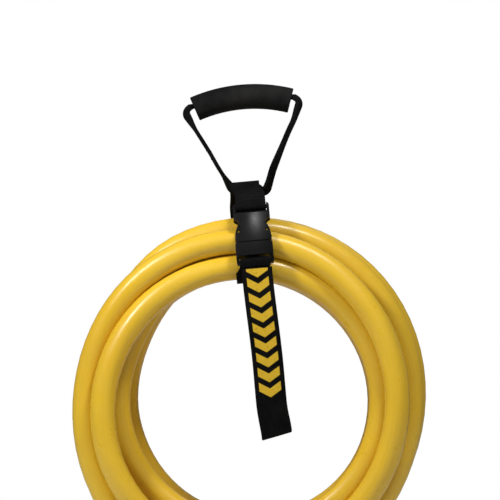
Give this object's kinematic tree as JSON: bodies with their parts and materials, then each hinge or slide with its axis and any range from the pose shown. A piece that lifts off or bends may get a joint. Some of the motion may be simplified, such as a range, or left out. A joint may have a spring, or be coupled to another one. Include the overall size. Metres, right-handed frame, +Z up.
{
  "type": "shore power cord",
  "caption": "Heavy coiled shore power cord with a bladed plug and a locking ring connector, hung in a webbing carrying strap with a side release buckle and a grip",
  "frame": {"origin": "the middle of the hand grip, on the grip's centre line", "axes": "+Z is up with the cord hanging from its grip, +X is to the right seen from the buckle's side, +Y goes from the buckle to the back"},
  "size_m": [0.3555, 0.1505, 0.7253],
  "materials": {
    "grip_plastic": "satin",
    "webbing": "woven",
    "thread": "woven",
    "buckle_plastic": "moulded",
    "cord_jacket": "satin",
    "black_rubber": "matt",
    "housing": "moulded",
    "insert_plastic": "moulded",
    "ring_plastic": "moulded",
    "brass": "polished",
    "steel": "zinc plated",
    "core_black": "satin",
    "core_red": "satin",
    "core_white": "satin",
    "core_green": "satin"
  },
  "bodies": {
    "handle": {"grip_sleeve": "grip_plastic", "handle_webbing": "webbing", "handle_stitching": "thread"},
    "prong_left": {"prong_left": "buckle_plastic"},
    "prong_right": {"prong_right": "buckle_plastic"},
    "tail": {"strap_tail": "webbing"},
    "ring": {"locking_ring": "ring_plastic"},
    "bundle": {"loop_strap": "webbing", "strap_stitching": "thread", "buckle_female": "buckle_plastic", "buckle_male": "buckle_plastic", "cord_coil": "cord_jacket", "cord_plug_end": "cord_jacket", "cord_connector_end": "cord_jacket", "plug_strain_relief": "black_rubber", "plug_body": "housing", "plug_face": "housing", "blade_hot_x": "brass", "blade_hot_y": "brass", "blade_neutral": "brass", "ground_pin": "brass", "plug_screws": "steel", "connector_strain_relief": "black_rubber", "connector_body": "housing", "connector_insert": "insert_plastic", "contacts_hot": "brass", "contact_neutral": "brass", "contact_ground": "brass", "ring_gasket": "black_rubber", "conductor_black": "core_black", "conductor_red": "core_red", "conductor_white": "core_white", "conductor_green": "core_green"}
  },
  "joints": [
    {"name": "handle_swing", "type": "hinge", "parent": "handle", "child": "bundle", "pos_m": [0.008, 0, -0.09145], "axis": [0.9962, 0, 0.0872], "range_deg": [-90, 90]},
    {"name": "prong_right_press", "type": "hinge", "parent": "bundle", "child": "prong_right", "pos_m": [0.02496, -0.06131, -0.15331], "axis": [0.0326, 0.9272, -0.3732], "range_deg": [-9, 0], "stiffness_Nm_per_rad": 1},
    {"name": "prong_left_press", "type": "hinge", "parent": "bundle", "child": "prong_left", "pos_m": [0.00005, -0.06131, -0.15549], "axis": [0.0326, 0.9272, -0.3732], "range_deg": [0, 9], "stiffness_Nm_per_rad": 1},
    {"name": "tail_swing", "type": "hinge", "parent": "bundle", "child": "tail", "pos_m": [0.01388, -0.06904, -0.1701], "axis": [0.9962, 0, 0.0872], "range_deg": [-80, 12]},
    {"name": "ring_turn", "type": "hinge", "parent": "bundle", "child": "ring", "pos_m": [0.12305, 0.03825, -0.69617], "axis": [0, 0, 1], "continuous": true}
  ]
}
